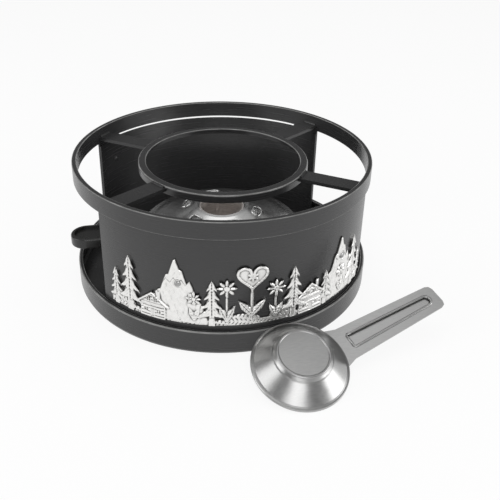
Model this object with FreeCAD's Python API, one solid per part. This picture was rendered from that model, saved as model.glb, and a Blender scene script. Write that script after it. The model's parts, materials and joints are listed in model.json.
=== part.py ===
import FreeCAD, Part
import math
import os

# Fondue burner stand: a dished base tray, a lift-off stand with two curved
# sheet panels, a top hoop and a pot rest, a spirit/paste burner with a side
# handle, and a loose stamped snuffer leaning on the tray.
# Frame: millimetres, +Z up, origin at the centre of the tray's underside.
# The panels face +Y and -Y (front), the two open sides face +X and -X, and
# the burner's handle points to -X.

# ---- driving dimensions ----------------------------------------------------
# fits
FIT = 0.30              # loose fit between parts that lift apart
SHANK_FIT = 0.05        # radial play of a rivet or screw shank in its hole

# base tray
TRAY_R = 117.0          # outside of the wall
TRAY_H = 18.2           # top of the rolled rim
TRAY_T = 1.2            # sheet
TRAY_CORNER = 2.4       # outside radius where floor meets wall
RIM_W = 3.2             # the rim is rolled inwards to this width
RIM_H = 3.0             # height of the rolled rim
RIM_ROUND = 0.9         # its rounding

# stand
FRONT = 270             # where the panels stand, degrees from +X
REAR = 90
HOOP_INSET = 2.0        # the hoop's outside lies this far within the tray's
HOOP_T = 3.5            # bar thickness
HOOP_H = 13.2           # bar height
STAND_H = 103.0         # top of the hoop above the table
HOOP_EDGE = 0.4         # broken edges of the bar
PANEL_T = 1.2           # panel sheet
PANEL_HALF = 58.2       # half of the angle that a panel spans
FRONT_SLIT = 0.5        # gap between the front panel and the hoop
REAR_SLIT = 2.0         # light gap between the rear panel and the hoop
TAB_ANGLE = 13.0        # width of the welded tab at each end of a panel
HEM_W = 4.0             # folded edge at a panel's ends
SEAT_DROP = 6.4         # pot rest below the top of the hoop
RING_R = 66.3           # outside of the inner ring
RING_W = 6.0            # width of its flat top
RING_SKIRT = 6.0        # height of its turned-down skirt
RING_T = 1.4            # its sheet
ARM_W = 15.0            # flat arms from ring to hoop
ARM_T = 2.6
ARM_DROP = 1.4          # arm's top below the ring's top
ARM_ANGLE = 54.5        # from the Y axis, either side
WELD_R = 1.3            # fillet welds

# frieze on the front panel
FRIEZE_UNIT = 1.0       # size of one unit of the motif tables
FRIEZE_T = 1.2          # background level of the relief
FRIEZE_RAISED = 2.0     # foreground level of the relief
FRIEZE_HALF = 53.0      # half of the angle it spans
FRIEZE_Z = 22.4         # underside of its ground strip
GROUND_H = 4.6          # height of the ground strip
RIVET_R = 1.2           # shanks
RIVET_HEAD_R = 2.4
RIVET_HEAD_H = 1.1

# burner
BURNER_X = -1.2         # its centre, towards the open side with the handle
BOWL_R = 64.0           # outside of the flange
BOWL_H = 35.0           # flange above the tray floor
BOWL_T = 1.0
BOWL_FLANGE_W = 4.5     # flange outside the sloping wall
BOWL_TAPER = 13.5       # from the flange's edge in to the foot of the wall
DOME_T = 1.0
DOME_RISE = 19.0        # lip of the fire hole above the flange
MOUTH_R = 18.3          # fire hole
LIP_R = 1.2             # rolled lip round the fire hole
SLOT_COUNT = 6          # oval flame slots
SLOT_R = 29.0           # radius of their circle
SLOT_L = 12.0
SLOT_W = 6.5
SLOT_START = -23.0      # angle of the first slot
GRID_T = 0.6            # perforated sheet behind the slots
CUP_T = 0.8
CUP_DROP = 1.2          # cup's rim below the dome's lip

# burner handle
GRIP_END = 121.5        # outer end, from the stand's axis
GRIP_START = 79.0
GRIP_W = 24.0
GRIP_H = 8.4
GRIP_TOP = 39.0         # above the table
GRIP_EDGE = 2.7         # border round the recess
GRIP_RECESS = 2.2
BRACKET_W = 13.0
BRACKET_T = 1.6
FLAP_H = 11.0           # end of the bracket that lies down the bowl's wall
STRAP_MARGIN = 6.0      # bracket past its outer screw
RIVET_PITCH = 7.2       # between the two rivets in the flap
SCREW_INSET = 7.0       # first screw from the grip's inner end
SCREW_PITCH = 15.0
SCREW_R = 1.5
SCREW_HEAD_R = 2.6
SCREW_HEAD_H = 1.2

# snuffer
SNUFF_R = 33.0          # rim of the cap
SNUFF_T = 1.0
SNUFF_LIP = 1.8         # turned-down edge
CAP_H = 12.4            # top of the cap above its rim
BOSS_R = 17.0           # flat top of the raised centre
BOSS_FOOT_R = 20.4
BOSS_STEP = 3.0         # height of the raised centre over the cone
PADDLE_REACH = 118.0    # end of the handle from the cap's centre
PADDLE_ROOT_W = 26.0
PADDLE_END_W = 19.5
PADDLE_CORNER = 4.0
PADDLE_RISE = 8.0       # bend of the handle, degrees
RIB_START = 40.0        # stamped trough along the handle
RIB_W = 12.6
RIB_END_W = 9.6
RIB_MARGIN = 6.0        # from its end to the handle's end
RIB_DEPTH = 1.5
SNUFF_GAP = 0.20        # play where it leans on the tray's rim
SNUFF_LEAN_IN = 1.0     # its edge lies this far in from the rim's outside
SNUFF_AZIMUTH = 280.2   # where the cap leans on the tray
PADDLE_AZIMUTH = 19.0   # where its handle points

# ---- derived levels and radii ----------------------------------------------
FLOOR_Z = TRAY_T                          # top of the tray floor
PANEL_R = TRAY_R - RIM_W - FIT            # outside of the panels
PANEL_IN = PANEL_R - PANEL_T
HOOP_R = TRAY_R - HOOP_INSET              # outside of the hoop
HOOP_IN = HOOP_R - HOOP_T
HOOP_Z = STAND_H - HOOP_H                 # underside of the hoop
PANEL_TOPS = {FRONT: HOOP_Z - FRONT_SLIT, REAR: HOOP_Z - REAR_SLIT}
RING_Z = STAND_H - SEAT_DROP              # top of the inner ring
ARM_Z = RING_Z - ARM_DROP                 # top of the arms
BOWL_WALL_R = BOWL_R - BOWL_FLANGE_W      # top of the bowl's sloping wall
BOWL_FLOOR_R = BOWL_R - BOWL_TAPER        # foot of that wall
SNUFF_LEAN_R = TRAY_R - SNUFF_LEAN_IN
GROUND = GROUND_H / FRIEZE_UNIT           # top of the ground strip, in table units
FLANGE_Z = FLOOR_Z + BOWL_H               # top of the burner bowl's flange
LIP_Z = FLANGE_Z + DOME_RISE              # top of the dome

ORIGIN = FreeCAD.Vector(0, 0, 0)
UP = FreeCAD.Vector(0, 0, 1)


# ---- helpers -----------------------------------------------------------------
def vec(x, y, z=0.0):
    return FreeCAD.Vector(x, y, z)


def polar(radius, degrees, z=0.0):
    a = math.radians(degrees)
    return vec(radius * math.cos(a), radius * math.sin(a), z)


def tube(r_in, r_out, z0, z1):
    outer = Part.makeCylinder(r_out, z1 - z0, vec(0, 0, z0))
    inner = Part.makeCylinder(r_in, z1 - z0, vec(0, 0, z0))
    return outer.cut(inner)


def sector(r_in, r_out, z0, z1, start, span):
    """A curved wall between two radii over an angle."""
    outer = Part.makeCylinder(r_out, z1 - z0, vec(0, 0, z0), UP, span)
    inner = Part.makeCylinder(r_in, z1 - z0, vec(0, 0, z0), UP, span)
    wall = outer.cut(inner)
    wall.rotate(ORIGIN, UP, start)
    return wall


def lathe(points):
    """A turned solid from a closed outline of (radius, height) points."""
    outline = [vec(r, 0, z) for r, z in points]
    face = Part.Face(Part.makePolygon(outline + outline[:1]))
    return face.revolve(ORIGIN, UP, 360)


def prism(points, base_z, height):
    """An upright prism over a closed outline of (x, y) points."""
    outline = [vec(x, y, base_z) for x, y in points]
    face = Part.Face(Part.makePolygon(outline + outline[:1]))
    return face.extrude(vec(0, 0, height))


def fuse(shapes):
    whole = shapes[0]
    if len(shapes) > 1:
        whole = whole.multiFuse(shapes[1:])
    return whole.removeSplitter()


def turned(shape, degrees):
    copy = shape.copy()
    copy.rotate(ORIGIN, UP, degrees)
    return copy


def radial_pin(radius, r0, r1, degrees, z):
    """A round bar along a radius, from r0 out to r1."""
    start = polar(r0, degrees, z)
    return Part.makeCylinder(radius, r1 - r0, start, polar(1, degrees))


def turned_pin(outline, base, direction):
    """A turned solid from (radius, distance) points, set along a direction."""
    pin = lathe(outline)
    pin.Placement = FreeCAD.Placement(base, FreeCAD.Rotation(UP, direction))
    return pin


def dome_points(radius, height, at, way, steps=4):
    """Outline of a low domed head that rises from a level to its crown."""
    points = []
    for i in range(steps + 1):
        t = math.pi / 2 * i / steps
        points.append((radius * math.cos(t), at + way * height * math.sin(t)))
    points[-1] = (0, at + way * height)
    return points


# ---- base tray ---------------------------------------------------------------
def base_tray():
    c = TRAY_CORNER
    b = c * (1 - math.sqrt(0.5))
    e = RIM_ROUND
    d = e * (1 - math.sqrt(0.5))
    inner = TRAY_R - RIM_W
    wall = TRAY_R - TRAY_T
    return lathe([
        (0, 0), (TRAY_R - c, 0), (TRAY_R - b, b), (TRAY_R, c),
        (TRAY_R, TRAY_H - e), (TRAY_R - d, TRAY_H - d), (TRAY_R - e, TRAY_H),
        (inner + e, TRAY_H), (inner + d, TRAY_H - d), (inner, TRAY_H - e),
        (inner, TRAY_H - RIM_H + e), (inner + e, TRAY_H - RIM_H), (wall, TRAY_H - RIM_H),
        (wall, FLOOR_Z + 1.6), (wall - 1.6, FLOOR_Z), (0, FLOOR_Z)])


# ---- stand -------------------------------------------------------------------
def top_hoop():
    e = HOOP_EDGE
    z0, z1 = HOOP_Z, STAND_H
    return lathe([
        (HOOP_IN, z0 + e), (HOOP_IN + e, z0), (HOOP_R - e, z0), (HOOP_R, z0 + e),
        (HOOP_R, z1 - e), (HOOP_R - e, z1), (HOOP_IN + e, z1), (HOOP_IN, z1 - e)])


def support_ring():
    t = RING_T
    z0, z1 = RING_Z - RING_SKIRT, RING_Z
    inner = RING_R - RING_W
    return lathe([
        (inner, z1 - t), (RING_R - t - 0.6, z1 - t), (RING_R - t, z1 - t - 0.6),
        (RING_R - t, z0), (RING_R, z0), (RING_R, z1 - 1.2), (RING_R - 0.35, z1 - 0.35),
        (RING_R - 1.2, z1), (inner + 0.4, z1), (inner, z1 - 0.4)])


def support_arm(degrees):
    bar = Part.makeBox(HOOP_IN, ARM_W, ARM_T, vec(0, -ARM_W / 2, ARM_Z - ARM_T))
    return turned(bar, degrees).common(tube(RING_R, HOOP_IN, ARM_Z - ARM_T, ARM_Z))


ARMS = {
    "support_arm_rear_right": REAR - ARM_ANGLE,
    "support_arm_rear_left": REAR + ARM_ANGLE,
    "support_arm_front_left": FRONT - ARM_ANGLE,
    "support_arm_front_right": FRONT + ARM_ANGLE,
}


def panel(middle):
    """A curved sheet whose ends are hemmed and reach up to the hoop."""
    start = middle - PANEL_HALF
    span = 2 * PANEL_HALF
    top = PANEL_TOPS[middle]
    sheet = sector(PANEL_IN, PANEL_R, FLOOR_Z, top, start, span)
    hem_angle = math.degrees(HEM_W / PANEL_R)
    pieces = [sheet]
    for first, hem_first in ((start, start), (start + span - TAB_ANGLE, start + span - hem_angle)):
        pieces.append(sector(PANEL_IN, PANEL_R, top - 1, HOOP_Z, first, TAB_ANGLE))
        pieces.append(sector(PANEL_IN - PANEL_T, PANEL_IN + 0.1, FLOOR_Z, top - 1, hem_first, hem_angle))
    return fuse(pieces)


def welds(arms, hoop, ring, panels):
    """Fillet beads at both ends of each arm and under the hoop at each tab."""
    beads = []
    for degrees in ARMS.values():
        for radius, length in ((HOOP_IN, ARM_W * 0.8), (RING_R, ARM_W * 0.8)):
            middle = polar(radius, degrees, ARM_Z)
            along = polar(1, degrees + 90)
            start = middle - along * (length / 2)
            bead = Part.makeCylinder(WELD_R, length, start, along)
            beads.append(bead.cut(arms[degrees]).cut(hoop if radius > RING_R else ring))
    for middle in (REAR, FRONT):
        for side in (-1, 1):
            degrees = middle + side * (PANEL_HALF - TAB_ANGLE / 2)
            along = polar(1, degrees + 90)
            start = polar(PANEL_IN, degrees, HOOP_Z) - along * 5
            bead = Part.makeCylinder(WELD_R, 10, start, along)
            beads.append(bead.cut(hoop).cut(panels[middle]))
    solids = []
    for bead in beads:
        solids.append(max(bead.Solids, key=lambda s: s.Volume))
    return Part.makeCompound(solids)


# ---- frieze --------------------------------------------------------------------
def motif(points, offset, level):
    """A flat outline wrapped on the front panel, so many degrees off its middle.
    Its points are (across, height above the strip's underside) in table units."""
    outline = [vec(x * FRIEZE_UNIT, 0, FRIEZE_Z + z * FRIEZE_UNIT) for x, z in points]
    face = Part.Face(Part.makePolygon(outline + outline[:1]))
    block = face.extrude(vec(0, -PANEL_R - 2 * level, 0))
    block.rotate(ORIGIN, UP, offset)
    shell = tube(PANEL_R, PANEL_R + level, FRIEZE_Z, PANEL_TOPS[FRONT])
    return block.common(shell)


def fir_tree(height, width, tiers=4):
    """A fir with drooping tiers over a short trunk, as a closed outline."""
    z0 = 0.5
    trunk = width * 0.1
    right = [(trunk, z0)]
    low = z0 + height * 0.2
    step = height * 0.8 / tiers
    for i in range(tiers):
        reach = width / 2 * (1 - 0.2 * i)
        z = low + i * step
        root = reach * 0.4 if i else trunk
        right += [(root, z + 0.4), (reach, z - 1.4), (reach * 0.92, z + 0.4), (reach * 0.5, z + step * 0.5)]
    right.append((0, z0 + height))
    left = [(-x, z) for x, z in reversed(right[:-1])]
    return right + left


def heart(size, z_mid, count=28):
    """A heart of the given half width about a height."""
    points = []
    for i in range(count):
        t = 2 * math.pi * i / count
        x = size * math.sin(t) ** 3
        z = size / 16 * (13 * math.cos(t) - 5 * math.cos(2 * t) - 2 * math.cos(3 * t) - math.cos(4 * t))
        points.append((x, z_mid + z))
    return points


def rosette(size, z_mid, petals=8):
    """A flower outline with pointed petals about a height."""
    points = []
    for i in range(petals * 4):
        t = 2 * math.pi * i / (petals * 4)
        r = size * (1.0, 0.8, 0.55, 0.8)[i % 4]
        points.append((r * math.sin(t), z_mid + r * math.cos(t)))
    return points


def leaf(x, z, length, width, lean):
    """A pointed leaf that springs from a stem, leaning to one side."""
    across = math.sin(math.radians(lean))
    along = math.cos(math.radians(lean))
    shape = ((-0.06, 0.16), (0.3, 0.42), (0.6, 0.5), (1.0, 0), (0.6, -0.5), (0.3, -0.42), (-0.06, -0.16))
    points = []
    for share, side in shape:
        a = share * length
        b = side * width
        points.append((x + a * across + b * along, z + a * along - b * across))
    return points


def stem(width, z0, z1):
    return [(-width / 2, z0), (width / 2, z0), (width / 2, z1), (-width / 2, z1)]


def mountain(half, height):
    """A peak with a shoulder on one flank, standing on the ground strip."""
    z0 = 0.5
    profile = (
        (-1.0, 0.0), (-0.86, 0.16), (-0.7, 0.27), (-0.56, 0.47), (-0.44, 0.5), (-0.27, 0.74),
        (-0.19, 0.76), (-0.04, 0.98), (0.03, 1.0), (0.14, 0.85), (0.22, 0.83), (0.33, 0.64),
        (0.42, 0.68), (0.5, 0.6), (0.62, 0.41), (0.74, 0.35), (0.88, 0.14), (1.0, 0.0))
    return [(half * x, z0 + height * z) for x, z in profile]


def chalet(width, height):
    """A hut with a low pitched roof, wide eaves and a chimney."""
    z0 = 0.5
    w = width / 2
    wall = height * 0.52
    return [
        (-w * 0.78, z0), (w * 0.78, z0), (w * 0.78, z0 + wall), (w, z0 + wall - 1.6), (w * 1.06, z0 + wall - 0.2),
        (w * 0.5, z0 + height * 0.76), (w * 0.5, z0 + height + 1.0), (w * 0.28, z0 + height + 1.0),
        (w * 0.28, z0 + height * 0.87), (0, z0 + height), (-w * 1.06, z0 + wall - 0.2), (-w, z0 + wall - 1.6),
        (-w * 0.78, z0 + wall)]


def hummock(half, height):
    """A low swell of the meadow."""
    z0 = GROUND - 0.6
    points = [(-half, z0 - 1), (half, z0 - 1)]
    for i in range(9):
        t = math.pi * i / 8
        points.append((half * math.cos(t), z0 + height * math.sin(t)))
    return points


# The motifs on the plate. Each starts with its offset from the middle in
# degrees; the other sizes are in units, except the last of a flower, the
# degrees its leaves lean. A rivet's height is from the strip's underside.
FIRS = ((-50, 30, 14), (-43.5, 44, 21), (-13.5, 36, 18), (15, 41, 20), (29, 28, 14), (46, 42, 20), (51, 27, 12))
MOUNTAINS = ((-26, 24, 50), (37, 23, 48))
CHALETS = ((-34.5, 23, 21), (22.3, 25, 23))
FLOWERS = ((-8.5, 7.0, 27, 24), (8.3, 7.0, 24, 24), (-19.5, 5.0, 18, 20), (37.5, 5.0, 17, 20))
HEART = (0.0, 11.0, 34.0)
HUMMOCKS = ((-47, 11, 9.0), (-27, 14, 6.0), (-3, 12, 5.4), (11, 10, 8.0), (33, 13, 6.0), (48, 9, 8.0))
RIVET_SPOTS = ((-25.0, 32.0), (37.5, 33.0))


def flower(offset, size, height, spread):
    """A flower on a stem with a pair of leaves."""
    z0 = GROUND - 1
    top = z0 + height
    raised = FRIEZE_RAISED
    return [
        motif(stem(1.8, z0, top), offset, FRIEZE_T),
        motif(rosette(size, top), offset, raised),
        motif(leaf(0, z0 + 1, height * 0.5, size * 0.55, spread), offset, raised),
        motif(leaf(0, z0 + 1, height * 0.5, size * 0.55, -spread), offset, raised)]


def rivet_level(height):
    return FRIEZE_Z + height * FRIEZE_UNIT


def frieze_plate():
    ends = FRONT - FRIEZE_HALF
    ground = sector(PANEL_R, PANEL_R + FRIEZE_T, FRIEZE_Z, FRIEZE_Z + GROUND_H, ends, 2 * FRIEZE_HALF)
    pieces = [ground]
    for offset, half, height in MOUNTAINS:
        pieces.append(motif(mountain(half, height), offset, FRIEZE_T))
    for offset, half, height in HUMMOCKS:
        pieces.append(motif(hummock(half, height), offset, FRIEZE_T))
    for offset, height, width in FIRS:
        pieces.append(motif(fir_tree(height, width), offset, FRIEZE_RAISED))
    for offset, width, height in CHALETS:
        pieces.append(motif(chalet(width, height), offset, FRIEZE_RAISED))
    for offset, size, height, spread in FLOWERS:
        pieces += flower(offset, size, height, spread)
    offset, size, height = HEART
    z_heart = GROUND + height
    pieces.append(motif(stem(2.6, GROUND - 1, z_heart - 6), offset, FRIEZE_T))
    pieces.append(motif(heart(size, z_heart), offset, FRIEZE_RAISED))
    for lean in (-38, 38):
        pieces.append(motif(leaf(0, GROUND + 4, 15, 5.5, lean), offset, FRIEZE_RAISED))
    plate = fuse(pieces)
    for offset, height in RIVET_SPOTS:
        hole = radial_pin(RIVET_R + SHANK_FIT, PANEL_IN - 2, PANEL_R + 4, FRONT + offset, rivet_level(height))
        plate = plate.cut(hole)
    return plate


def rivet(degrees, z, r_back, r_front):
    """A rivet through a curved wall with a domed head on each side."""
    sag = RIVET_HEAD_R ** 2 / (2 * r_back)
    back = dome_points(RIVET_HEAD_R, RIVET_HEAD_H, r_back - sag, -1)
    front = dome_points(RIVET_HEAD_R, RIVET_HEAD_H, r_front, 1)
    shank = [(RIVET_R, r_back - sag), (RIVET_R, r_front)]
    return turned_pin(back[::-1] + shank + front, vec(0, 0, z), polar(1, degrees))


REAR_RIVETS = (REAR - 47.4, REAR + 47.4)
REAR_RIVET_Z = 68.0


# ---- burner --------------------------------------------------------------------
def burner_bowl():
    t = BOWL_T
    z0, z1 = FLOOR_Z, FLANGE_Z
    slope = (BOWL_WALL_R - BOWL_FLOOR_R) / BOWL_H
    outline = [
        (0, z0), (BOWL_FLOOR_R - 3, z0), (BOWL_FLOOR_R - 0.8, z0 + 1.2),
        (BOWL_WALL_R, z1 - t), (BOWL_R, z1 - t), (BOWL_R, z1), (BOWL_WALL_R - t, z1),
        (BOWL_FLOOR_R - t - 0.8 + slope, z0 + 1.8), (BOWL_FLOOR_R - 3.6, z0 + t), (0, z0 + t)]
    bowl = lathe(outline)
    bowl.translate(vec(BURNER_X, 0, 0))
    return bowl


def dome_outline():
    """Outer surface of the dome from its edge to the lip of the fire hole."""
    z = FLANGE_Z
    rise = DOME_RISE
    mouth = MOUTH_R + LIP_R
    reach = BOWL_R - mouth
    points = [(BOWL_R, z + DOME_T), (BOWL_R - reach * 0.06, z + DOME_T + rise * 0.05)]
    for share, climb in ((0.14, 0.17), (0.24, 0.3), (0.35, 0.43), (0.47, 0.56), (0.6, 0.69), (0.73, 0.81), (0.85, 0.91), (0.94, 0.98)):
        points.append((BOWL_R - reach * share, z + rise * climb))
    points.append((mouth, z + rise))
    return points


def dome_shell():
    top = dome_outline()
    t = DOME_T
    mouth = MOUTH_R
    under = []
    for i in range(len(top) - 1, 0, -1):
        r0, z0 = top[i - 1]
        r1, z1 = top[i] if i == len(top) - 1 else top[i + 1]
        run = math.hypot(r0 - r1, z1 - z0)
        under.append((top[i][0] - t * (z1 - z0) / run, top[i][1] - t * (r0 - r1) / run))
    under[0] = (mouth + t, LIP_Z - 2.6)
    lip = [(mouth, LIP_Z - LIP_R * 0.6), (mouth, LIP_Z - 2.6 - t)]
    edge = [(BOWL_R - (BOWL_R - BOWL_WALL_R) * 0.9, FLANGE_Z), (BOWL_R, FLANGE_Z)]
    return lathe(top + lip + under + edge)


def oval(length, width, z0, z1, radius, degrees):
    """An upright oval cutter, long way round the circle."""
    half = (length - width) / 2
    box = Part.makeBox(width, 2 * half, z1 - z0, vec(radius - width / 2, -half, z0))
    ends = [Part.makeCylinder(width / 2, z1 - z0, vec(radius, s * half, z0)) for s in (-1, 1)]
    return turned(fuse([box] + ends), degrees)


def burner_dome():
    dome = dome_shell()
    for i in range(SLOT_COUNT):
        angle = SLOT_START + i * 360 / SLOT_COUNT
        dome = dome.cut(oval(SLOT_L, SLOT_W, FLANGE_Z, LIP_Z + 5, SLOT_R, angle))
    dome.translate(vec(BURNER_X, 0, 0))
    return dome


def flame_grid():
    """A thin ring of sheet close under the dome's slots."""
    gap = DOME_T + 0.1
    reach = BOWL_R - MOUTH_R - LIP_R
    inner, outer = SLOT_R - SLOT_W, SLOT_R + SLOT_W * 0.9

    def under(radius):
        line = dome_outline()
        for (ra, za), (rb, zb) in zip(line, line[1:]):
            if rb <= radius <= ra:
                return za + (zb - za) * (ra - radius) / (ra - rb)
        return LIP_Z

    steps = 4
    radii = [inner + (outer - inner) * i / steps for i in range(steps + 1)]
    top = [(r, under(r) - gap * 1.12) for r in radii]
    low = [(r, z - GRID_T) for r, z in reversed(top)]
    grid = lathe(top + low)
    grid.translate(vec(BURNER_X, 0, 0))
    return grid


def fuel_cup():
    t = CUP_T
    z0 = FLOOR_Z + BOWL_T
    z1 = LIP_Z - CUP_DROP
    r = MOUTH_R - FIT
    cup = lathe([
        (0, z0), (r - 1.5, z0), (r, z0 + 1.5), (r, z1), (r - t, z1),
        (r - t, z0 + 1.5 + t), (r - t - 1.2, z0 + t), (0, z0 + t)])
    cup.translate(vec(BURNER_X, 0, 0))
    return cup


# ---- burner handle ---------------------------------------------------------------
GRIP_Z = GRIP_TOP - GRIP_H
BRACKET_Z = GRIP_Z - BRACKET_T          # the strap lies under the grip
SCREW_X = (GRIP_START + SCREW_INSET, GRIP_START + SCREW_INSET + SCREW_PITCH)


def wall_radius(z):
    """Outside of the bowl's sloping wall at a height."""
    low, high = FLOOR_Z + 1.2, FLANGE_Z - BOWL_T
    share = (z - low) / (high - low)
    return BOWL_FLOOR_R - 0.8 + share * (BOWL_WALL_R - BOWL_FLOOR_R + 0.8)


def handle_bracket():
    """A strap bent down against the bowl's wall and run out under the grip."""
    half = BRACKET_W / 2
    wall_top = wall_radius(BRACKET_Z)
    wall_low = wall_radius(BRACKET_Z - FLAP_H)
    x_top = BURNER_X - wall_top
    x_low = BURNER_X - wall_low
    t = BRACKET_T
    end = -(SCREW_X[1] + STRAP_MARGIN)
    low_z = BRACKET_Z - FLAP_H
    side = [
        (x_low + t, low_z), (x_low - t, low_z), (x_top - t, BRACKET_Z),
        (end, BRACKET_Z), (end, BRACKET_Z + t), (x_top + t, BRACKET_Z + t)]
    outline = [vec(x, -half, z) for x, z in side]
    strap = Part.Face(Part.makePolygon(outline + outline[:1])).extrude(vec(0, BRACKET_W, 0))
    low, high = FLOOR_Z + 1.2, FLANGE_Z - BOWL_T
    core = Part.makeCone(BOWL_FLOOR_R - 0.8, BOWL_WALL_R, high - low, vec(BURNER_X, 0, low))
    strap = strap.cut(core)
    for x in SCREW_X:
        strap = strap.cut(Part.makeCylinder(SCREW_R + SHANK_FIT, 6, vec(-x, 0, BRACKET_Z - 2)))
    for y in BRACKET_RIVET_Y:
        strap = strap.cut(bracket_pin(y, RIVET_R + SHANK_FIT, -4, 4))
    return max(strap.Solids, key=lambda s: s.Volume)


BRACKET_RIVET_Y = (-RIVET_PITCH / 2, RIVET_PITCH / 2)
BRACKET_RIVET_Z = BRACKET_Z - FLAP_H / 2


def bracket_frame():
    """Middle of the strap's flap on the bowl's wall, and the way out of the wall."""
    low, high = wall_radius(BRACKET_Z - FLAP_H), wall_radius(BRACKET_Z)
    out = vec(-FLAP_H, 0, low - high)
    out.normalize()
    return vec(BURNER_X - wall_radius(BRACKET_RIVET_Z), 0, BRACKET_RIVET_Z), out


def bracket_pin(y, radius, back, front):
    """A round bar square to the bowl's wall, measured out from its surface."""
    base, out = bracket_frame()
    return Part.makeCylinder(radius, front - back, base + vec(0, y, 0) + out * back, out)


def handle_grip():
    half = GRIP_W / 2
    x0, x1 = -GRIP_START, -(GRIP_END - half)

    def paddle(inset, z0, z1):
        r = half - inset
        body = Part.makeBox(x0 - inset - x1, 2 * r, z1 - z0, vec(x1, -r, z0))
        return fuse([body, Part.makeCylinder(r, z1 - z0, vec(x1, 0, z0))])

    grip = paddle(0, GRIP_Z, GRIP_TOP)
    edges = [e for e in grip.Edges if abs(e.BoundBox.ZMin - e.BoundBox.ZMax) < 0.01]
    grip = grip.makeFillet(1.2, edges)
    grip = grip.cut(paddle(GRIP_EDGE, GRIP_TOP - GRIP_RECESS, GRIP_TOP + 1))
    for x in SCREW_X:
        grip = grip.cut(Part.makeCylinder(SCREW_R, GRIP_H - GRIP_RECESS - 1, vec(-x, 0, GRIP_Z)))
    return grip


def handle_screws():
    """Two screws driven up through the strap into the grip."""
    screws = []
    for x in SCREW_X:
        depth = GRIP_H - GRIP_RECESS - 1.5
        shank = Part.makeCylinder(SCREW_R, BRACKET_T + depth, vec(-x, 0, BRACKET_Z))
        head = Part.makeCone(SCREW_HEAD_R * 0.8, SCREW_HEAD_R, SCREW_HEAD_H, vec(-x, 0, BRACKET_Z - SCREW_HEAD_H))
        screws.append(fuse([shank, head]))
    return Part.makeCompound(screws)


def bracket_rivets():
    base, out = bracket_frame()
    seat = BRACKET_T * math.sqrt(1 - out.z ** 2)
    head = dome_points(RIVET_HEAD_R, RIVET_HEAD_H, seat, 1)
    outline = [(0, -BOWL_T), (RIVET_R, -BOWL_T), (RIVET_R, seat)] + head
    return Part.makeCompound([turned_pin(outline, base + vec(0, y, 0), out) for y in BRACKET_RIVET_Y])


# ---- snuffer ---------------------------------------------------------------------
def trough(x0, x1, half0, half1, z0, z1):
    """A stamped trough's plan, square at the cap and round at the tip, as a prism."""
    points = [(x0, -half0 + 1), (x0 + 1, -half0)]
    for i in range(9):
        t = math.pi * i / 8 - math.pi / 2
        points.append((x1 - half1 + half1 * math.cos(t), half1 * math.sin(t)))
    points += [(x0 + 1, half0), (x0, half0 - 1)]
    return prism(points, z0, z1 - z0)


def snuffer_flat():
    """The stamping lying level: the rim of its cap at height 0, its handle to +X."""
    t = SNUFF_T
    top = CAP_H
    foot = CAP_H - BOSS_STEP
    cap = lathe([
        (0, top), (BOSS_R - 0.4, top), (BOSS_R + 0.6, top - 0.5), (BOSS_FOOT_R - 0.9, foot + 0.5),
        (BOSS_FOOT_R, foot), (SNUFF_R - 2.2, 0.5), (SNUFF_R - 1.2, 0), (SNUFF_R - 0.4, -0.2), (SNUFF_R, -0.7),
        (SNUFF_R, -SNUFF_LIP), (SNUFF_R - t, -SNUFF_LIP), (SNUFF_R - t, -t - 0.1), (SNUFF_R - 2.4, -t + 0.3),
        (BOSS_FOOT_R - t * 0.6, foot - t), (BOSS_R - t * 0.4, top - t), (0, top - t)])
    root, end = PADDLE_ROOT_W / 2, PADDLE_END_W / 2
    c = PADDLE_CORNER
    b = c * (1 - math.sqrt(0.5))
    x0 = SNUFF_R - 4
    reach = PADDLE_REACH
    upper = [(x0, root + 2), (SNUFF_R + 4, root - 0.6), (reach - c, end), (reach - b, end - b), (reach, end - c)]
    outline = [(x, -y) for x, y in upper] + upper[::-1]
    paddle = prism(outline, -t - 0.2, t)
    half, tip = RIB_W / 2, RIB_END_W / 2
    rib_end = reach - RIB_MARGIN
    outer = trough(RIB_START, rib_end, half, tip, -t - 0.2 - RIB_DEPTH, -0.2)
    inner = trough(RIB_START + t, rib_end - t, half - t, tip - t, -0.2 - RIB_DEPTH, t)
    paddle = fuse([paddle, outer]).cut(inner)
    hinge = vec(SNUFF_R - 1, 0, -0.7)
    paddle.rotate(hinge, vec(0, 1, 0), -PADDLE_RISE)
    paddle = paddle.cut(Part.makeCylinder(SNUFF_R - t / 2, 2 * SNUFF_R, vec(0, 0, -SNUFF_R)))
    return fuse([cap, paddle])


def snuffer():
    """Leaned on the tray: far edge on the rim, near edge on the table."""
    tilt = math.asin((TRAY_H + SNUFF_GAP) / (2 * SNUFF_R))
    shape = snuffer_flat()
    shape.rotate(ORIGIN, UP, PADDLE_AZIMUTH)
    outward = polar(1, SNUFF_AZIMUTH)
    across = polar(1, SNUFF_AZIMUTH + 90)
    shape.rotate(ORIGIN, across, math.degrees(tilt))
    low = SNUFF_R * math.sin(tilt) + SNUFF_LIP * math.cos(tilt)
    away = SNUFF_LEAN_R + SNUFF_R * math.cos(tilt) + SNUFF_LIP * math.sin(tilt)
    shape.translate(outward * away + vec(0, 0, low))
    return shape


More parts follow.
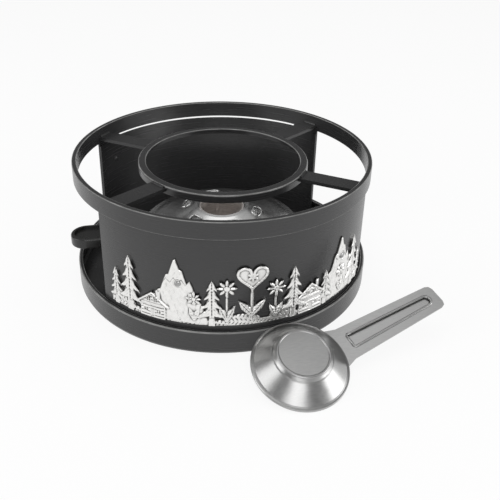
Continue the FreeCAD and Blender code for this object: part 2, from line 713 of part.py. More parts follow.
# ---- write every node --------------------------------------------------------------
def build():
    hoop = top_hoop()
    ring = support_ring()
    arms = {degrees: support_arm(degrees) for degrees in ARMS.values()}
    panels = {middle: panel(middle) for middle in (REAR, FRONT)}
    for offset, height in RIVET_SPOTS:
        hole = radial_pin(RIVET_R + SHANK_FIT, PANEL_IN - 2, PANEL_R + 2, FRONT + offset, rivet_level(height))
        panels[FRONT] = panels[FRONT].cut(hole)
    for degrees in REAR_RIVETS:
        hole = radial_pin(RIVET_R + SHANK_FIT, PANEL_IN - 2, PANEL_R + 2, degrees, REAR_RIVET_Z)
        panels[REAR] = panels[REAR].cut(hole)
    bowl = burner_bowl()
    for y in BRACKET_RIVET_Y:
        bowl = bowl.cut(bracket_pin(y, RIVET_R + SHANK_FIT, -4, 4))
    front_rivets = [rivet(FRONT + offset, rivet_level(height), PANEL_IN, PANEL_R + FRIEZE_T)
                    for offset, height in RIVET_SPOTS]
    rear_rivets = [rivet(degrees, REAR_RIVET_Z, PANEL_IN, PANEL_R) for degrees in REAR_RIVETS]
    parts = {
        "base_tray": base_tray(),
        "top_hoop": hoop,
        "support_ring": ring,
        "front_panel": panels[FRONT],
        "rear_panel": panels[REAR],
        "arm_welds": welds(arms, hoop, ring, panels),
        "frieze_plate": frieze_plate(),
        "frieze_rivets": Part.makeCompound(front_rivets),
        "rear_panel_rivets": Part.makeCompound(rear_rivets),
        "burner_bowl": bowl,
        "burner_dome": burner_dome(),
        "flame_grid": flame_grid(),
        "fuel_cup": fuel_cup(),
        "handle_bracket": handle_bracket(),
        "handle_grip": handle_grip(),
        "handle_screws": handle_screws(),
        "bracket_rivets": bracket_rivets(),
        "snuffer": snuffer(),
    }
    for name, degrees in ARMS.items():
        parts[name] = arms[degrees]
    return parts


os.makedirs("parts", exist_ok=True)
for node, shape in build().items():
    shape.exportStep("parts/" + node + ".step")
    solids = shape.Solids
    print(node, len(solids), "solids", round(sum(s.Volume for s in solids) / 1000, 3), "cm3",
          "valid" if shape.isValid() else "INVALID")
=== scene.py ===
import bpy
import json
import math
import numpy as np
from mathutils import Matrix, Vector

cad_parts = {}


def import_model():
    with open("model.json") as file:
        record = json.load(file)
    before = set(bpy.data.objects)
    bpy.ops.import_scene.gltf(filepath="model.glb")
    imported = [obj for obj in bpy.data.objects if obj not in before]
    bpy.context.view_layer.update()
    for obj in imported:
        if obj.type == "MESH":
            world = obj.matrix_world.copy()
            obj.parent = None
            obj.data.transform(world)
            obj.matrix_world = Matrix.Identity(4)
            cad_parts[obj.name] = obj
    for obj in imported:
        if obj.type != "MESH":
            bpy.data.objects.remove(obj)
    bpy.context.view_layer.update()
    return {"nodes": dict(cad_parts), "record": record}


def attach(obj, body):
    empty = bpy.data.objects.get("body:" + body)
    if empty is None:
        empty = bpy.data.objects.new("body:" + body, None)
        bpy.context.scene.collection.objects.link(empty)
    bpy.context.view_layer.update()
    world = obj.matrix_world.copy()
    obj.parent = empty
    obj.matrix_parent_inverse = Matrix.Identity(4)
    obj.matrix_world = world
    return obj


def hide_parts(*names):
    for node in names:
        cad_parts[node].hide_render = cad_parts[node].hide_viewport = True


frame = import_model()
NODES = frame["nodes"]

MM = 0.001

# ---- sizes of the CAD part, in millimetres and by the names it gives them ------------
TRAY_R = 117.0          # outside of the tray
TRAY_H = 18.2           # top of its rolled rim
RIM_W = 3.2             # width of that rim
STAND_H = 103.0         # top of the hoop
HOOP_R = 115.0          # outside of the hoop
HOOP_T = 3.5
HOOP_H = 13.2
RING_R = 66.3           # outside of the inner ring
RING_W = 6.0            # width of its flat top
RING_Z = 96.6           # height of its flat top
PANEL_R = 113.5         # outside of the panels
BURNER_X = -1.2         # the burner's centre
FLANGE_Z = 36.2         # top of the bowl's flange
BOWL_R = 64.0           # outside of the flange and of the dome on it
DOME_T = 1.0
DOME_RISE = 19.0        # lip of the fire hole above the flange
MOUTH_R = 18.3          # fire hole
LIP_R = 1.2             # rolled lip round it
SLOT_COUNT = 6          # oval flame slots
SLOT_R = 29.0           # radius of their circle
SLOT_L = 12.0
SLOT_W = 6.5
SLOT_START = -23.0      # angle of the first slot
SNUFF_R = 33.0          # rim of the snuffer's cap
SNUFF_T = 1.0
SNUFF_LIP = 1.8         # its turned-down edge
CAP_H = 12.4            # top of the cap above its rim
BOSS_R = 17.0           # flat top of its raised centre
PADDLE_REACH = 118.0    # end of its handle from the cap's centre
PADDLE_RISE = 8.0       # bend of the handle, degrees
PADDLE_AZIMUTH = 19.0   # where the handle points
RIB_START = 40.0        # stamped trough along the handle
RIB_W = 12.6
RIB_END_W = 9.6
RIB_MARGIN = 6.0        # from the trough's end to the handle's end
SNUFF_GAP = 0.20        # play where the snuffer leans on the tray's rim
SNUFF_LEAN_R = 116.0    # radius where it leans
SNUFF_AZIMUTH = 280.2   # direction from the tray's centre to the snuffer


# ---- node helpers --------------------------------------------------------------------
GRAIN_DEPTH = 0.0002    # height of every bump, in metres


class Tree:
    """A material's node tree with short calls for the nodes used here."""

    def __init__(self, name):
        self.material = bpy.data.materials.new(name)
        self.material.use_nodes = True
        self.nodes = self.material.node_tree.nodes
        self.links = self.material.node_tree.links
        self.nodes.clear()
        self.out = self.nodes.new("ShaderNodeOutputMaterial")
        self.shader = self.nodes.new("ShaderNodeBsdfPrincipled")
        self.links.new(self.shader.outputs[0], self.out.inputs["Surface"])

    def add(self, kind, **inputs):
        """A new node. set_x=value sets its property x; any other name is an input."""
        node = self.nodes.new("ShaderNode" + kind)
        for key, value in inputs.items():
            if key.startswith("set_"):
                setattr(node, key[4:], value)
            else:
                self.feed(node.inputs[key.replace("_", " ")], value)
        return node

    def feed(self, socket, value):
        """Link an output to a socket, or write a plain value into it."""
        if isinstance(value, bpy.types.NodeSocket):
            self.links.new(value, socket)
        else:
            socket.default_value = value

    def coords(self, stretch=(1, 1, 1)):
        source = self.add("TexCoord")
        mapping = self.add("Mapping", Vector=source.outputs["Object"], Scale=stretch)
        return mapping.outputs[0]

    def noise(self, vector, scale, detail=3.0):
        texture = self.add("TexNoise", Vector=vector, Scale=scale, Detail=detail, Roughness=0.5)
        return texture.outputs["Fac"]

    def remap(self, value, low, high, start=0.3, end=0.7):
        """low where value is start, high where it is end, and in proportion between."""
        node = self.add("MapRange", Value=value)
        node.inputs["From Min"].default_value = start
        node.inputs["From Max"].default_value = end
        node.inputs["To Min"].default_value = low
        node.inputs["To Max"].default_value = high
        return node.outputs[0]

    def math(self, operation, a, b=None):
        node = self.add("Math", set_operation=operation)
        self.feed(node.inputs[0], a)
        if b is not None:
            self.feed(node.inputs[1], b)
        return node.outputs[0]

    def mix(self, factor, a, b):
        """Colour a where factor is 0 and b where it is 1."""
        node = self.add("Mix", set_data_type="RGBA")
        colour_a, colour_b, result = node.inputs[6], node.inputs[7], node.outputs[2]
        self.feed(node.inputs[0], factor)
        self.feed(colour_a, (*a, 1) if isinstance(a, tuple) else a)
        self.feed(colour_b, (*b, 1) if isinstance(b, tuple) else b)
        return result

    def bump(self, height, strength):
        node = self.add("Bump", Height=height, Strength=strength, Distance=GRAIN_DEPTH)
        self.links.new(node.outputs[0], self.shader.inputs["Normal"])

    def set(self, **inputs):
        for key, value in inputs.items():
            self.feed(self.shader.inputs[key.replace("_", " ")], value)


# ---- materials -----------------------------------------------------------------------
# Circles about the stand's axis along which a highlight is painted lighter into the paint, as
# (radius, height). Where an edge is rounded, its circle lies a little inside the corner.
HOOP_EDGES = ((HOOP_R, STAND_H), (HOOP_R - HOOP_T, STAND_H), (HOOP_R, STAND_H - HOOP_H))
RING_EDGES = ((RING_R - 0.3, RING_Z - 0.3), (RING_R - RING_W, RING_Z))
TRAY_EDGES = ((TRAY_R - 0.5, TRAY_H - 0.3), (TRAY_R - RIM_W + 0.2, TRAY_H - 0.2))
HIGHLIGHT_FULL = 0.3         # distance from an edge where the painted highlight starts to fade
HIGHLIGHT_NONE = 0.7         # distance where the painted highlight has gone
# colour of the highlight painted along the edges
EDGE_HIGHLIGHT_COLOUR = (0.26, 0.26, 0.255)


def painted_edge_highlight(t, space, edges):
    """How much highlight is painted, from 0 to 1: patches along each of the edges' circles."""
    place = t.add("SeparateXYZ")
    t.links.new(t.add("TexCoord").outputs["Object"], place.inputs[0])
    x, y, z = place.outputs
    radius = t.math("SQRT", t.math("ADD", t.math("POWER", x, 2.0), t.math("POWER", y, 2.0)))
    near = None
    for edge_radius, edge_height in edges:
        across = t.math("ABSOLUTE", t.math("SUBTRACT", radius, edge_radius * MM))
        along = t.math("ABSOLUTE", t.math("SUBTRACT", z, edge_height * MM))
        gap = t.math("MAXIMUM", across, along)
        near = gap if near is None else t.math("MINIMUM", near, gap)
    # painted highlight: full on each edge circle, fading out a little way off it
    highlighted = t.remap(near, 1.0, 0.0, start=HIGHLIGHT_FULL * MM, end=HIGHLIGHT_NONE * MM)
    patches = t.remap(t.noise(space, scale=90, detail=4), 0.45, 1.0)
    return t.math("MULTIPLY", highlighted, patches)


def paint(name, edges=()):
    """Satin black powder coat with a fine orange peel, and a highlight painted lighter along round
    edges.
    """
    t = Tree(name)
    space = t.coords()
    cloud = t.noise(space, scale=22, detail=4)
    streak = t.noise(t.coords(stretch=(1, 1, 26)), scale=34)
    colour = t.mix(cloud, (0.024, 0.024, 0.0245), (0.031, 0.031, 0.0315))
    if edges:
        # painted highlight: the colour turns lighter along the given edge circles
        colour = t.mix(painted_edge_highlight(t, space, edges), colour, EDGE_HIGHLIGHT_COLOUR)
    t.set(Base_Color=colour, Roughness=t.remap(streak, 0.25, 0.28), Specular_IOR_Level=0.5)
    t.bump(t.noise(space, scale=1900, detail=2), strength=0.10)
    return t.material


def plastic():
    """Black moulded plastic with a soft sheen."""
    t = Tree("black_moulded_plastic")
    space = t.coords()
    t.set(Base_Color=t.mix(t.noise(space, scale=45), (0.010, 0.010, 0.010), (0.017, 0.017, 0.016)))
    t.set(Roughness=t.remap(t.noise(space, scale=120), 0.24, 0.32))
    t.bump(t.noise(space, scale=2600, detail=2), strength=0.15)
    return t.material


def metal(name, dark, light, rough, stretch=(1, 1, 1), scale=400, strength=0.1):
    """Bare metal whose grain can be drawn out along an axis. rough is (lowest, highest)."""
    t = Tree(name)
    grain = t.noise(t.coords(stretch), scale, detail=4)
    t.set(Metallic=1.0, Base_Color=t.mix(t.remap(grain, 0, 1), dark, light))
    t.set(Roughness=t.remap(grain, rough[0], rough[1]))
    t.bump(grain, strength)
    return t.material


def silver():
    """Bright cast silver, darkened in its low places: patina in the engraved lines, painted shade
    by raised motifs.
    """
    t = Tree("antiqued_cast_silver")
    grain = t.noise(t.coords(), scale=300, detail=4)
    patina_and_shade = t.add("Attribute", set_attribute_name="patina_and_shade").outputs["Fac"]
    bright = t.mix(t.remap(grain, 0, 1), (0.80, 0.795, 0.78), (0.90, 0.895, 0.88))
    # dark where the attribute says: patina, and painted shade at the foot of raised motifs
    t.set(Metallic=1.0, Base_Color=t.mix(patina_and_shade, bright, (0.055, 0.053, 0.050)))
    t.set(Roughness=t.remap(grain, 0.24, 0.36))
    t.bump(grain, strength=0.12)
    return t.material


MATERIALS = {
    "black_paint": paint("satin_black_paint"),
    "black_plastic": plastic(),
    "silver_relief": silver(),
    "polished_steel": metal(
        "polished_steel", (0.60, 0.60, 0.61), (0.68, 0.68, 0.69), (0.10, 0.17),
        scale=90, strength=0.03),
    "brushed_steel": metal(
        "brushed_steel", (0.60, 0.60, 0.60), (0.68, 0.68, 0.675), (0.24, 0.31),
        stretch=(1, 14, 14), scale=200, strength=0.05),
}
OWN_LOOK = {
    # these three paints carry a painted highlight along their edges
    "top_hoop": paint("hoop_paint", HOOP_EDGES),
    "support_ring": paint("ring_paint", RING_EDGES),
    "base_tray": paint("tray_paint", TRAY_EDGES),
    "frieze_rivets": metal(
        "rivet_steel", (0.30, 0.30, 0.30), (0.42, 0.42, 0.415), (0.22, 0.32),
        scale=500, strength=0.1),
    # painted light: the dome's steel is made lighter than the polished steel, for a brighter flank
    "burner_dome": metal(
        "lit_satin_pressed_steel", (0.79, 0.79, 0.785), (0.86, 0.86, 0.855), (0.20, 0.25),
        stretch=(1, 9, 9), scale=160, strength=0.03),
    # the warm grey is the spun steel's own tone; it is made lighter than steel to paint light into
    # the dark cup
    "fuel_cup": metal(
        "lit_dull_spun_steel", (0.70, 0.665, 0.64), (0.94, 0.90, 0.875), (0.40, 0.55),
        stretch=(1, 1, 14), scale=110, strength=0.3),
    # painted shade: the snuffer's steel is made darker than the brushed steel, so its reflections
    # come out mid-grey
    "snuffer": metal(
        "shaded_stamped_steel", (0.37, 0.37, 0.37), (0.43, 0.43, 0.425), (0.28, 0.33),
        stretch=(1, 7, 7), scale=220, strength=0.015),
}
SLOT_OF = {row["node"]: row["material_slot"] for row in frame["record"]["subparts"]}


# ---- CAD nodes -----------------------------------------------------------------------
def smooth(obj, sharp=32):
    """Smooth shading that keeps edges of more than `sharp` degrees."""
    obj.data.shade_smooth()
    mod = obj.modifiers.new("weighted normals", "WEIGHTED_NORMAL")
    mod.keep_sharp = True
    obj.data.set_sharp_from_angle(angle=math.radians(sharp))


for name, obj in NODES.items():
    obj.data.materials.clear()
    obj.data.materials.append(OWN_LOOK.get(name, MATERIALS[SLOT_OF[name]]))
    smooth(obj)


# ---- frieze: outlines ----------------------------------------------------------------
# The plate's motifs as in the CAD part, in millimetres. Each table row starts with the
# motif's offset from the middle in degrees.
STRIP_LOW = 22.4        # ground strip that the motifs rise from
STRIP_HIGH = 27.0
STRIP_HALF = 53.0       # half of the angle it spans, degrees
MOTIF_FOOT = STRIP_LOW + 0.5
STEM_FOOT = STRIP_HIGH - 1
BACK_LEVEL = 1.2        # thickness of the motifs behind
FRONT_LEVEL = 2.0       # thickness of the raised ones
FIRS = (                # height, width
    (-50, 30, 14), (-43.5, 44, 21), (-13.5, 36, 18), (15, 41, 20),
    (29, 28, 14), (46, 42, 20), (51, 27, 12),
)
MOUNTAINS = ((-26, 24, 50), (37, 23, 48))       # half width, height
CHALETS = ((-34.5, 23, 21), (22.3, 25, 23))     # width, height
FLOWERS = (             # size, height, lean of the leaves in degrees
    (-8.5, 7.0, 27, 24), (8.3, 7.0, 24, 24), (-19.5, 5.0, 18, 20), (37.5, 5.0, 17, 20),
)
FLOWER_STEM = 1.8
HEART = (0.0, 11.0, 34.0)                       # size, height above the strip
HEART_STEM = 2.6
HEART_LEAF = (15, 5.5, 38)                      # length, width, lean
HUMMOCKS = (            # half width, height
    (-47, 11, 9.0), (-27, 14, 6.0), (-3, 12, 5.4), (11, 10, 8.0), (33, 13, 6.0), (48, 9, 8.0),
)
RIVETS = ((-25.0, 54.4), (37.5, 55.4))          # height above the table
FIR_TIERS = 4
FIR_TRUNK = 0.2         # share of a fir's height below its tiers
FIR_DROOP = 1.4         # a tier's tips hang this far below its root
PETALS = 8
PETAL_REACH = (1.0, 0.8, 0.55, 0.8)             # shares of the size, from petal to petal
LEAF_SHAPE = (          # shares of the length and of the width
    (-0.06, 0.16), (0.3, 0.42), (0.6, 0.5), (1.0, 0), (0.6, -0.5), (0.3, -0.42), (-0.06, -0.16),
)
MOUNTAIN_SHAPE = (      # shares of the half width and of the height
    (-1.0, 0.0), (-0.86, 0.16), (-0.7, 0.27), (-0.56, 0.47), (-0.44, 0.5), (-0.27, 0.74),
    (-0.19, 0.76), (-0.04, 0.98), (0.03, 1.0), (0.14, 0.85), (0.22, 0.83), (0.33, 0.64),
    (0.42, 0.68), (0.5, 0.6), (0.62, 0.41), (0.74, 0.35), (0.88, 0.14), (1.0, 0.0),
)
CHALET_WALL = 0.52      # share of a chalet's height up to the eaves
CHALET_SIDE = 0.78      # shares of its half width: the walls,
CHALET_EAVES = 1.06     # the eaves,
CHIMNEY_IN = 0.28       # and the chimney's two sides
CHIMNEY_OUT = 0.5


def fir_tiers(height):
    """Height of the lowest tier, and the step from tier to tier."""
    return MOTIF_FOOT + height * FIR_TRUNK, height * (1 - FIR_TRUNK) / FIR_TIERS


def fir_outline(height, width):
    """Its right side from the trunk to the tip, tier by tier, and then the mirror image."""
    trunk = width * 0.1
    low, step = fir_tiers(height)
    right = [(trunk, MOTIF_FOOT)]
    for i in range(FIR_TIERS):
        reach = width / 2 * (1 - 0.2 * i)
        root = reach * 0.4 if i else trunk
        z = low + i * step
        right += [(root, z + 0.4), (reach, z - FIR_DROOP)]
        right += [(reach * 0.92, z + 0.4), (reach * 0.5, z + step * 0.5)]
    right.append((0, MOTIF_FOOT + height))
    return right + [(-x, z) for x, z in reversed(right[:-1])]


def heart_outline(size, z_mid, count=56):
    """The well-known heart curve of sines and cosines."""
    points = []
    for i in range(count):
        t = 2 * math.pi * i / count
        rise = 13 * math.cos(t) - 5 * math.cos(2 * t) - 2 * math.cos(3 * t) - math.cos(4 * t)
        points.append((size * math.sin(t) ** 3, z_mid + size / 16 * rise))
    return points


def rosette_outline(size, z_mid):
    points = []
    count = PETALS * len(PETAL_REACH)
    for i in range(count):
        t = 2 * math.pi * i / count
        r = size * PETAL_REACH[i % len(PETAL_REACH)]
        points.append((r * math.sin(t), z_mid + r * math.cos(t)))
    return points


def leaf_outline(z, length, width, lean):
    across, along = math.sin(math.radians(lean)), math.cos(math.radians(lean))
    return [
        (a * length * across + b * width * along, z + a * length * along - b * width * across)
        for a, b in LEAF_SHAPE]


def bar_outline(width, z0, z1):
    return [(-width / 2, z0), (width / 2, z0), (width / 2, z1), (-width / 2, z1)]


def mountain_outline(half, height):
    return [(half * x, MOTIF_FOOT + height * z) for x, z in MOUNTAIN_SHAPE]


def chalet_outline(width, height):
    """Two walls under a pitched roof, with a chimney on its right side."""
    z0, w, wall = MOTIF_FOOT, width / 2, height * CHALET_WALL
    side, eaves = w * CHALET_SIDE, w * CHALET_EAVES
    chimney_in, chimney_out = w * CHIMNEY_IN, w * CHIMNEY_OUT
    return [
        (-side, z0), (side, z0), (side, z0 + wall), (w, z0 + wall - 1.6), (eaves, z0 + wall - 0.2),
        (chimney_out, z0 + height * 0.76), (chimney_out, z0 + height + 1.0),
        (chimney_in, z0 + height + 1.0), (chimney_in, z0 + height * 0.87), (0, z0 + height),
        (-eaves, z0 + wall - 0.2), (-w, z0 + wall - 1.6), (-side, z0 + wall)]


def hummock_outline(half, height, steps=16):
    """A half ellipse on a foot inside the ground strip."""
    z0 = STRIP_HIGH - 0.6
    turns = [math.pi * i / steps for i in range(steps + 1)]
    arc = [(half * math.cos(t), z0 + height * math.sin(t)) for t in turns]
    return [(-half, z0 - 1), (half, z0 - 1)] + arc


# ---- frieze: relief ------------------------------------------------------------------
# A relief takes places on its motif, x across from the middle and z above the table,
# and d, how far in from the outline they lie. It gives the height over the motif's
# level. All are in millimetres: depths, half widths of lines and pitches of patterns.
CRAGS = 5
FIRST_SEED = 5          # of the mountains' crags
WINDOWS = (             # middle as a share of the half width, sill as a share of the height
    (-0.42, 0.2), (0.42, 0.2), (-0.22, 0.62), (0.22, 0.62),
)
HEART_BORDER = 2.0      # width of the dotted border


def groove(value, width):
    """1 on the line value = 0, falling to 0 at the given half width."""
    return np.clip(1 - np.abs(value) / width, 0, 1) ** 0.7


def wave(value, pitch):
    return 0.5 + 0.5 * np.cos(2 * np.pi * value / pitch)


def fir_relief(height):
    low, step = fir_tiers(height)

    def relief(x, z, d):
        tier = np.mod(z - low + FIR_DROOP - np.abs(x) * 0.12, step) / step
        needles = wave(z + np.abs(x) * 1.15, 2.6)
        body = -0.55 * tier + 0.22 * needles - 0.45 * groove(x, 0.5) - 0.5 * groove(tier, 0.12)
        bark = -0.4 - 0.25 * wave(x, 0.7)
        return np.where(z < low - 0.6, bark, body)
    return relief


def mountain_relief(half, height, seed):
    phases = np.random.default_rng(seed).uniform(0, 6.28, CRAGS)

    def relief(x, z, d):
        u, v = x / half, (z - STRIP_LOW) / height
        snow_line = 0.66 + 0.07 * np.abs(np.mod(u * 9 + 0.3, 2) - 1) - 0.1 * np.abs(u)
        crag = 0
        for k in range(CRAGS):
            fold = (3 + 2.1 * k) * (u * 2.3 + (-1) ** k * v * 1.7) + phases[k]
            crag = crag + np.abs(np.sin(fold)) / (k + 1.5)
        ridge_line = x + (z - STRIP_LOW - height) * 0.18 + 1.0 * np.sin(z * 0.5)
        ridge = groove(ridge_line, 1.3)
        rock = -0.42 + 0.26 * crag + 0.18 * ridge - 0.22 * groove(v - snow_line, 0.025)
        snow = 0.12 + 0.12 * ridge - 0.12 * wave(x * 0.8 - z * 0.5, 3.1)
        return np.where(v > snow_line, snow, rock)
    return relief


def chalet_relief(width, height):
    w, wall = width / 2, height * CHALET_WALL
    slope = (height - wall) / (w * CHALET_EAVES)

    def relief(x, z, d):
        up = z - MOTIF_FOOT
        roof = height - np.abs(x) * slope
        front = -0.6 + 0.1 * wave(up, 2.5) - 0.4 * groove(np.mod(up, 2.5) - 1.25, 0.35)
        for at, base in WINDOWS:
            dx, dz = np.abs(x - at * w), np.abs(up - base * height - 1.3)
            casing = (dx < 1.75) & (dz < 1.75)
            glass = (dx < 1.2) & (dz < 1.2) & (dx > 0.22) & (dz > 0.22)
            front = np.where(glass, -1.05, np.where(casing, -0.3, front))
        door = (np.abs(x) < 1.6) & (up < height * 0.34)
        front = np.where(door, -0.85 + 0.25 * groove(np.abs(x) - 1.3, 0.3), front)
        rail = (np.abs(up - wall + 0.2) < 0.8) & (np.abs(x) < w * CHALET_SIDE)
        front = np.where(rail, -0.15 - 0.3 * wave(x, 1.1), front)
        shingle = 0.1 - 0.5 * groove(np.mod(up + np.abs(x) * slope, 2.2) - 1.1, 0.45)
        chimney = (x > w * CHIMNEY_IN) & (up > roof + 0.4)
        top = np.where(chimney, -0.25 + 0.2 * wave(up, 1.2), shingle)
        return np.where(up < roof - 2.1, front, top)
    return relief


def rosette_relief(size, z_mid):
    def relief(x, z, d):
        r = np.hypot(x, z - z_mid) / size
        angle = np.arctan2(x, z - z_mid)
        vein = groove(np.sin(PETALS * angle / 2) * r * size, 0.28)
        petal = np.cos(PETALS * angle) * 0.25 - 0.28 * vein - 0.15 - 0.35 * groove(r - 0.3, 0.06)
        beads = 0.15 + 0.25 * wave(angle, 2 * np.pi / 7) * wave(r, 0.18)
        return np.where(r < 0.28, beads, petal)
    return relief


def leaf_relief(z0, lean):
    across, along = math.sin(math.radians(lean)), math.cos(math.radians(lean))

    def relief(x, z, d):
        side = x * along - (z - z0) * across
        run = x * across + (z - z0) * along
        veins = groove(np.mod(run + np.abs(side) * 1.2, 2.6) - 1.3, 0.4)
        return -0.5 * groove(side, 0.4) - 0.35 * veins + 0.05
    return relief


def heart_relief(size, z_mid):
    def relief(x, z, d):
        r = np.hypot(x, z - z_mid - 0.5)
        angle = np.arctan2(x, z - z_mid - 0.5)
        star = r < size * 0.36 * (0.72 + 0.28 * np.cos(6 * angle))
        rays = 0.1 - 0.3 * groove(np.sin(3 * angle) * r, 0.25)
        lattice = -0.45 + 0.08 * wave(x + z, 1.3) * wave(x - z, 1.3)
        dots = wave(np.arctan2(x, z - z_mid), 2 * np.pi / 22) * groove(d - 1.1, 0.45)
        inner = np.where(star, rays, lattice)
        face = np.where(d < HEART_BORDER, 0.02 - 0.25 * dots, inner)
        return face - 0.2 * groove(d - HEART_BORDER, 0.25)
    return relief


def grass_relief(x, z, d):
    lean = x + 0.9 * np.sin(z * 0.9)
    blades = groove(np.mod(lean, 2.8) - 1.4, 0.5) * (wave(z + x * 0.23, 4.4) > 0.25)
    return -0.1 - 0.5 * blades - 0.35 * groove(z - STRIP_LOW - 1.2, 0.45)


def stem_relief(x, z, d):
    return -0.1 * wave(z, 1.0)


def frieze_motifs():
    """(offset in degrees, outline, level, relief) of every motif."""
    rows = []
    for k, (at, half, height) in enumerate(MOUNTAINS):
        relief = mountain_relief(half, height, FIRST_SEED + k)
        rows.append((at, mountain_outline(half, height), BACK_LEVEL, relief))
    for at, half, height in HUMMOCKS:
        rows.append((at, hummock_outline(half, height), BACK_LEVEL, grass_relief))
    for at, height, width in FIRS:
        rows.append((at, fir_outline(height, width), FRONT_LEVEL, fir_relief(height)))
    for at, width, height in CHALETS:
        rows.append((at, chalet_outline(width, height), FRONT_LEVEL, chalet_relief(width, height)))
    for at, size, height, lean in FLOWERS:
        top = STEM_FOOT + height
        rows.append((at, bar_outline(FLOWER_STEM, STEM_FOOT, top), BACK_LEVEL, stem_relief))
        rows.append((at, rosette_outline(size, top), FRONT_LEVEL, rosette_relief(size, top)))
        foot = STEM_FOOT + 1
        for side in (lean, -lean):
            outline = leaf_outline(foot, height * 0.5, size * 0.55, side)
            rows.append((at, outline, FRONT_LEVEL, leaf_relief(foot, side)))
    at, size, height = HEART
    middle = STRIP_HIGH + height
    rows.append((at, bar_outline(HEART_STEM, STEM_FOOT, middle - 6), BACK_LEVEL, stem_relief))
    rows.append((at, heart_outline(size, middle), FRONT_LEVEL, heart_relief(size, middle)))
    foot = STRIP_HIGH + 4
    length, width, lean = HEART_LEAF
    for side in (-lean, lean):
        outline = leaf_outline(foot, length, width, side)
        rows.append((at, outline, FRONT_LEVEL, leaf_relief(foot, side)))
    return rows


# ---- frieze: mesh --------------------------------------------------------------------
CELL = 0.32             # grid of the relief
PLATE_TOP = 75.0        # above every motif
FAR = 1e9
MARGIN = 1.5            # grid points this far outside a motif are worked out with it
EDGE_ROUND = 1.1        # a motif's edge is rounded over this width
EDGE_DROP = 0.55        # and falls by this much
FADE_IN = 0.5           # the relief reaches its full depth this far in
RIVET_SEAT = 3.4        # flat round each rivet
SEAT_LINE = 3.1         # groove round it
# Darkening of low places in the relief: patina in the engraved lines, and painted shade at the foot
# of raised motifs.
PATINA_SHADE_REACH = (-4, -2, 0, 2, 4)        # neighbours, in cells
PATINA_SHADE_DEPTH = 0.22     # a point about this far below its neighbours is dark
THINNEST = 0.3
THICKEST = 2.3
BEHIND = 0.03           # the plate's back stands this far off the panel
PLATE_SHARP = 50        # degrees


def outline_distance(x, z, outline):
    """Signed distance to a closed outline, positive inside, and the nearest point on it."""
    best = np.full(x.shape, FAR)
    near_x, near_z = x.copy(), z.copy()
    inside = np.zeros(x.shape, bool)
    for (ax, az), (bx, bz) in zip(outline, outline[1:] + outline[:1]):
        ex, ez = bx - ax, bz - az
        t = np.clip(((x - ax) * ex + (z - az) * ez) / (ex * ex + ez * ez), 0, 1)
        qx, qz = ax + t * ex, az + t * ez
        gap = np.hypot(x - qx, z - qz)
        closer = gap < best
        best = np.where(closer, gap, best)
        near_x = np.where(closer, qx, near_x)
        near_z = np.where(closer, qz, near_z)
        if az != bz:
            inside ^= ((az > z) != (bz > z)) & (x < (bx - ax) * (z - az) / (bz - az) + ax)
    return np.where(inside, best, -best), near_x, near_z


def height_map():
    """The plate laid flat as a grid of points: place across, place up, how far in from the
    plate's outline, height of the relief, and the nearest place on the outline."""
    span = math.radians(STRIP_HALF) * PANEL_R
    s_axis = np.arange(-span, span + CELL, CELL)
    z_axis = np.arange(STRIP_LOW - CELL, PLATE_TOP, CELL)
    s, z = np.meshgrid(s_axis, z_axis)
    depth, height = np.full(s.shape, -FAR), np.zeros(s.shape)
    edge_s, edge_z = s.copy(), z.copy()
    strip = [(-span, STRIP_LOW), (span, STRIP_LOW), (span, STRIP_HIGH), (-span, STRIP_HIGH)]
    for at, outline, level, relief in [(0.0, strip, BACK_LEVEL, grass_relief)] + frieze_motifs():
        middle = math.radians(at) * PANEL_R
        xs, zs = zip(*outline)
        columns = np.searchsorted(s_axis, (middle + min(xs) - MARGIN, middle + max(xs) + MARGIN))
        rows = np.searchsorted(z_axis, (min(zs) - MARGIN, max(zs) + MARGIN))
        part = (slice(*rows), slice(*columns))
        x, up = s[part] - middle, z[part]
        d, near_x, near_z = outline_distance(x, up, outline)
        engraving = np.where(d > 0, relief(x, up, d) * np.clip(d / FADE_IN, 0, 1), 0)
        edge = 1 - np.clip(d / EDGE_ROUND, 0, 1)
        surface = level + engraving - EDGE_DROP * edge ** 2
        closer = d > depth[part]
        edge_s[part] = np.where(closer, near_x + middle, edge_s[part])
        edge_z[part] = np.where(closer, near_z, edge_z[part])
        depth[part] = np.maximum(d, depth[part])
        height[part] = np.maximum(height[part], np.where(d > -CELL * 1.5, surface, 0))
    for at, level in RIVETS:
        r = np.hypot(s - math.radians(at) * PANEL_R, z - level)
        seat = np.minimum(height, BACK_LEVEL - 0.25 * groove(r - SEAT_LINE, 0.4))
        height = np.where(r < RIVET_SEAT, seat, height)
    return s, z, depth, height, edge_s, edge_z


def patina_and_shade_map(depth, height):
    """From 0 to 1, dark where the relief lies lower than the points round it: patina in the
    engraved lines, and painted shade at the foot of raised motifs.
    """
    body = np.where(depth > 0, height, np.nan)
    shifted = [np.roll(body, (i, j), (0, 1)) for i in PATINA_SHADE_REACH for j in PATINA_SHADE_REACH]
    around = np.nanmean(np.stack(shifted), axis=0)
    return np.nan_to_num(np.clip((around - height) / PATINA_SHADE_DEPTH - 0.15, 0, 1), nan=0.0)


def open_edges(quads):
    """The edges that only one of the faces has."""
    edges = np.concatenate([quads[:, [0, 1]], quads[:, [1, 2]], quads[:, [2, 3]], quads[:, [3, 0]]])
    once = dict.fromkeys(map(tuple, edges.tolist()))
    return [(a, b) for a, b in once if (b, a) not in once]


